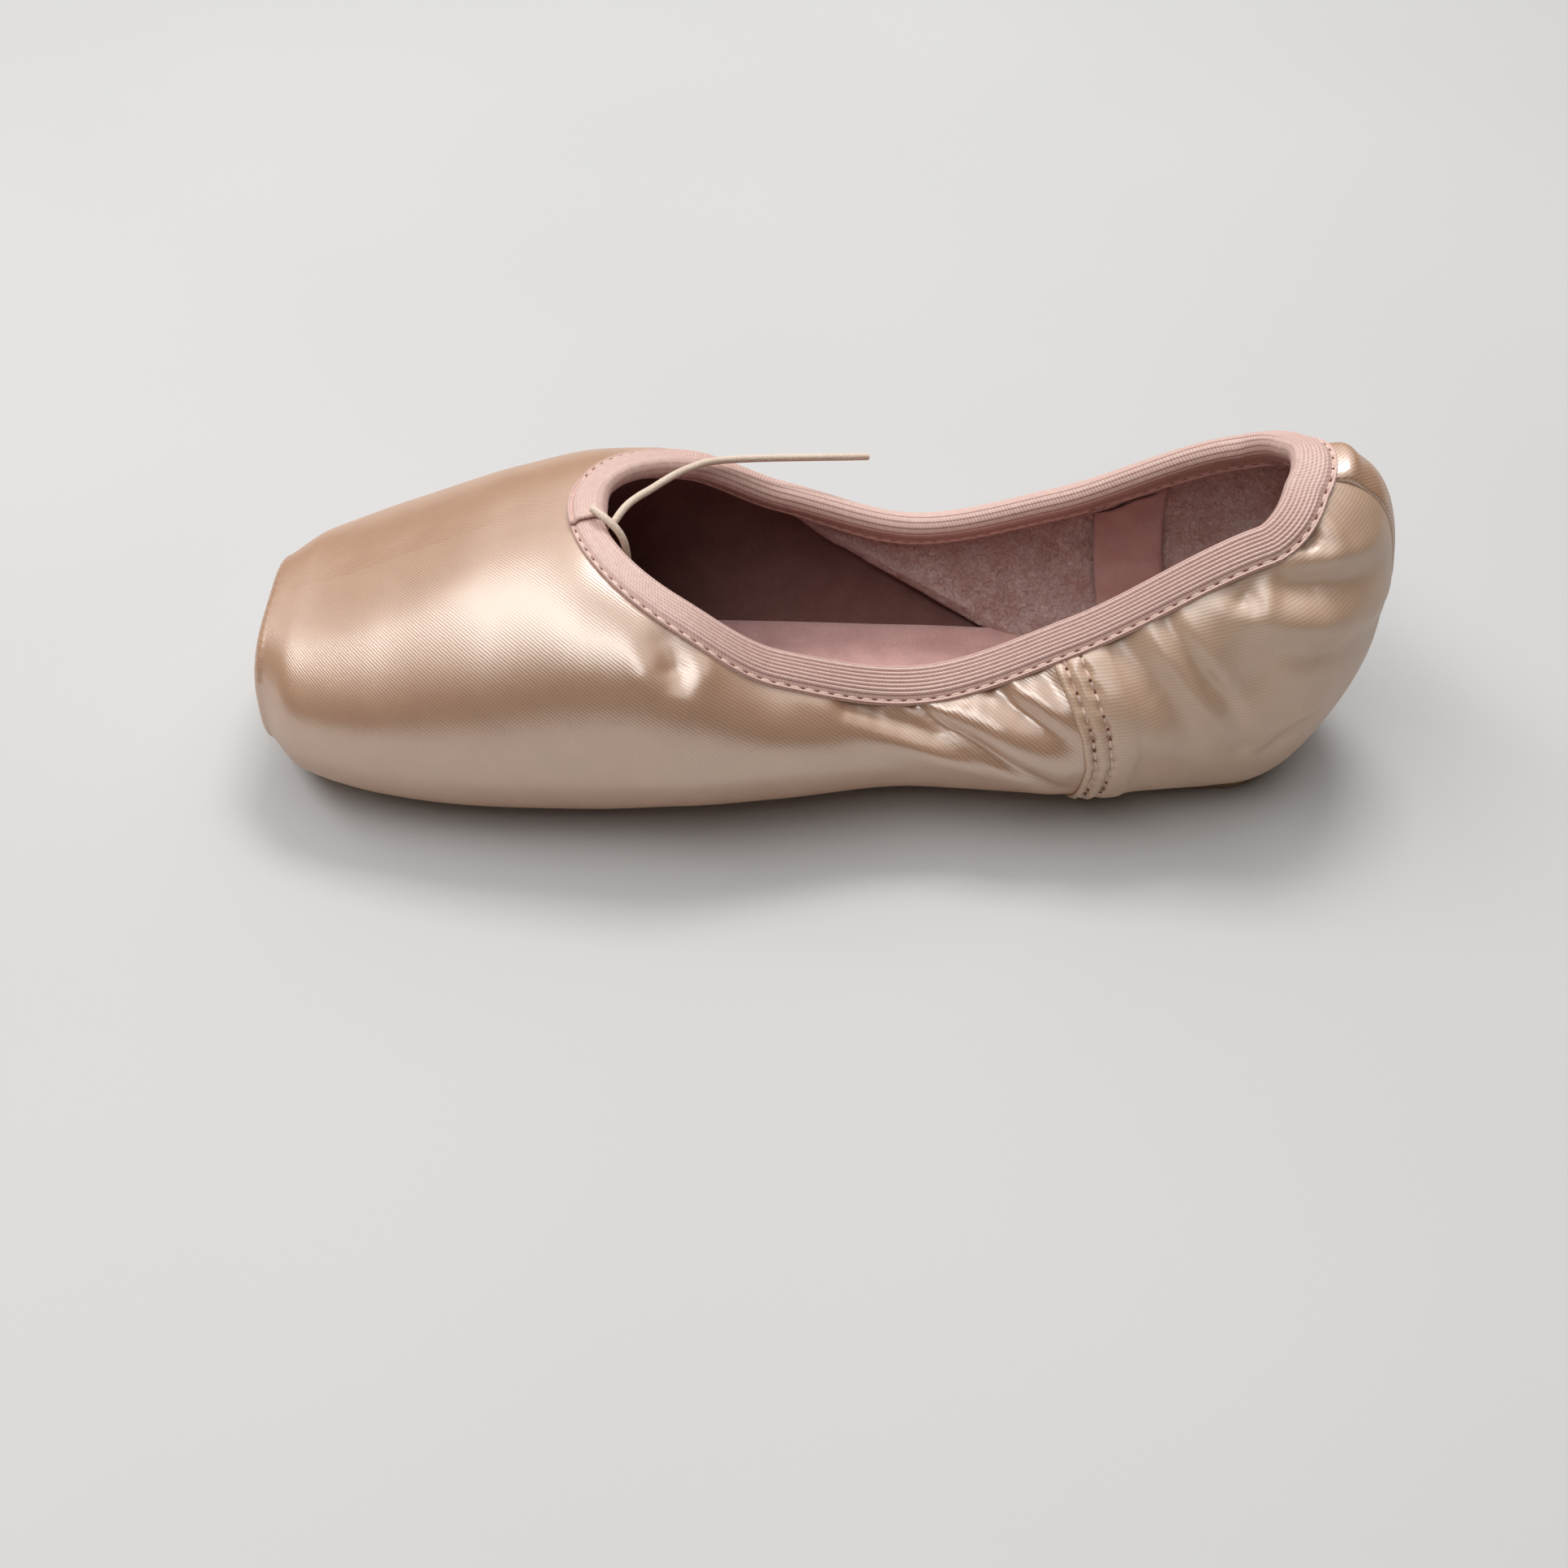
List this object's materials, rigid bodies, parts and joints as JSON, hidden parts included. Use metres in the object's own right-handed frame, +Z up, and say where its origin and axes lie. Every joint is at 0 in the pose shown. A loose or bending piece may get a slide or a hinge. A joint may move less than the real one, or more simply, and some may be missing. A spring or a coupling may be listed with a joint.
{
  "type": "pointe shoe",
  "caption": "Satin pointe shoe with a flat platform toe, a hollow upper bound in ribbed elastic at the collar, a thin leather outsole, a felt insole and a drawstring.",
  "frame": {"origin": "on the floor under the middle of the shoe's box: halfway along its length, on its middle plane", "axes": "+X along the shoe from toe to heel, +Y to the shoe's far side in the picture, +Z up"},
  "size_m": [0.233, 0.09, 0.0731],
  "materials": {
    "satin": "glossy peach satin",
    "elastic": "matt dusty pink ribbed elastic",
    "leather": "plain tan leather",
    "felt": "matt dusty pink felt",
    "cord": "matt cream elastic cord"
  },
  "bodies": {
    "root": {"upper": "satin", "collar_binding": "elastic", "outsole": "leather", "insole": "felt", "drawstring_end": "cord", "drawstring_loop": "cord"}
  },
  "joints": []
}
